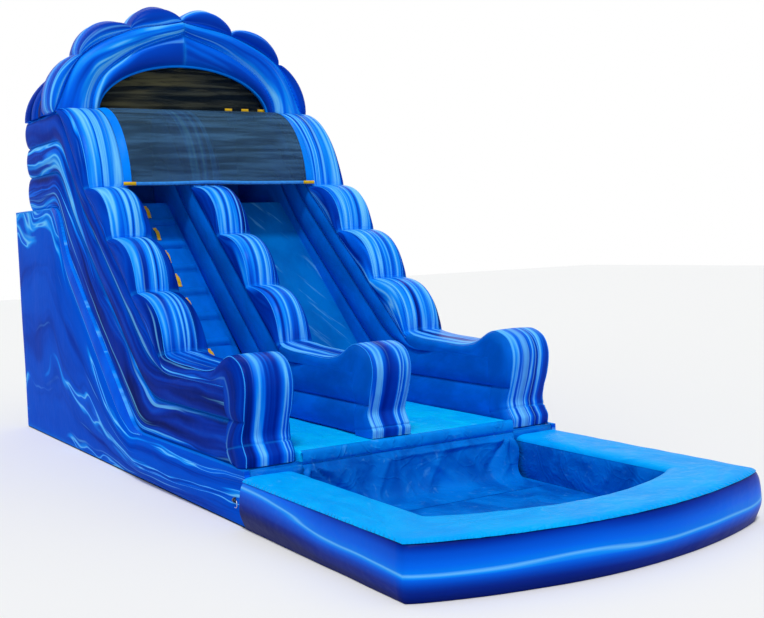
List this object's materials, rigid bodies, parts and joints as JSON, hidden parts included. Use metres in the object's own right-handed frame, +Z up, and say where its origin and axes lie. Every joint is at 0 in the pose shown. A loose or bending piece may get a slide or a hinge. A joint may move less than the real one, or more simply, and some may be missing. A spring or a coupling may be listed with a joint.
{
  "type": "inflatable water slide",
  "caption": "Inflatable water slide with a climb lane, a slide lane, a netted canopy tower and a splash pool.",
  "frame": {"origin": "ground, under the middle of the whole slide", "axes": "+Y from the pool to the tower, +Z up, +X to the right as seen from the pool"},
  "size_m": [3.6738, 10.5664, 5.4718],
  "materials": {
    "marbled_vinyl": "coated fabric, marbled deep blue with pale streaks",
    "plain_blue_vinyl": "plain coated fabric",
    "azure_vinyl": "plain coated fabric, wet look",
    "base_vinyl": "matt coated fabric",
    "black_net": "fine knitted mesh",
    "light_blue_tape": "woven tape",
    "yellow_webbing": "woven webbing",
    "plated_steel": "plated wire"
  },
  "bodies": {
    "slide": {"anchor_loop": "base_vinyl", "back_wall_lower": "marbled_vinyl", "back_wall_middle": "marbled_vinyl", "back_wall_upper": "marbled_vinyl", "base_panel_front": "azure_vinyl", "base_panel_left": "marbled_vinyl", "base_panel_rear": "marbled_vinyl", "base_panel_right": "marbled_vinyl", "canopy_hoop_1": "marbled_vinyl", "canopy_hoop_2": "marbled_vinyl", "canopy_hoop_3": "marbled_vinyl", "climb_bed": "plain_blue_vinyl", "climb_handle_1": "yellow_webbing", "climb_handle_2": "yellow_webbing", "climb_handle_3": "yellow_webbing", "climb_handle_4": "yellow_webbing", "climb_handle_5": "yellow_webbing", "climb_handle_6": "yellow_webbing", "climb_handle_7": "yellow_webbing", "crown_left": "marbled_vinyl", "crown_right": "marbled_vinyl", "divider_cap": "marbled_vinyl", "divider_lower": "marbled_vinyl", "divider_upper": "marbled_vinyl", "ground_sheet": "base_vinyl", "inflation_sleeve": "marbled_vinyl", "inner_web_1": "base_vinyl", "inner_web_2": "base_vinyl", "inner_web_3": "base_vinyl", "inner_web_4": "base_vinyl", "inner_web_5": "base_vinyl", "landing_apron": "azure_vinyl", "landing_deck": "azure_vinyl", "landing_mat": "azure_vinyl", "net_arch_back": "black_net", "net_arch_front": "black_net", "net_hem_tape": "light_blue_tape", "net_shoulder": "black_net", "net_tag_left": "yellow_webbing", "net_tag_right": "yellow_webbing", "net_tie_1": "yellow_webbing", "net_tie_2": "yellow_webbing", "net_tie_3": "yellow_webbing", "platform_deck": "azure_vinyl", "slide_bed": "azure_vinyl", "wall_left_cap": "marbled_vinyl", "wall_left_lower": "marbled_vinyl", "wall_left_middle": "marbled_vinyl", "wall_left_upper": "marbled_vinyl", "wall_right_cap": "marbled_vinyl", "wall_right_lower": "marbled_vinyl", "wall_right_middle": "marbled_vinyl", "wall_right_upper": "marbled_vinyl"},
    "pool": {"pool_cover": "azure_vinyl", "pool_floor": "azure_vinyl", "pool_rim_front": "marbled_vinyl", "pool_rim_left": "marbled_vinyl", "pool_rim_right": "marbled_vinyl"},
    "anchor_ring_body": {"anchor_ring": "plated_steel"},
    "deflation_flap_body": {"deflation_flap": "marbled_vinyl"}
  },
  "joints": [
    {"name": "pool_pull_away", "type": "slide", "parent": "slide", "child": "pool", "axis": [0, -1, 0], "range_m": [0, 0.8]},
    {"name": "anchor_ring_swing", "type": "hinge", "parent": "slide", "child": "anchor_ring_body", "pos_m": [-1.74256, -2.15293, 0.22], "axis": [0, 1, 0], "range_deg": [0, 80]},
    {"name": "deflation_flap_lift", "type": "hinge", "parent": "slide", "child": "deflation_flap_body", "pos_m": [-0.75, 4.86775, 0.52], "axis": [1, 0, 0], "range_deg": [0, 90]}
  ]
}
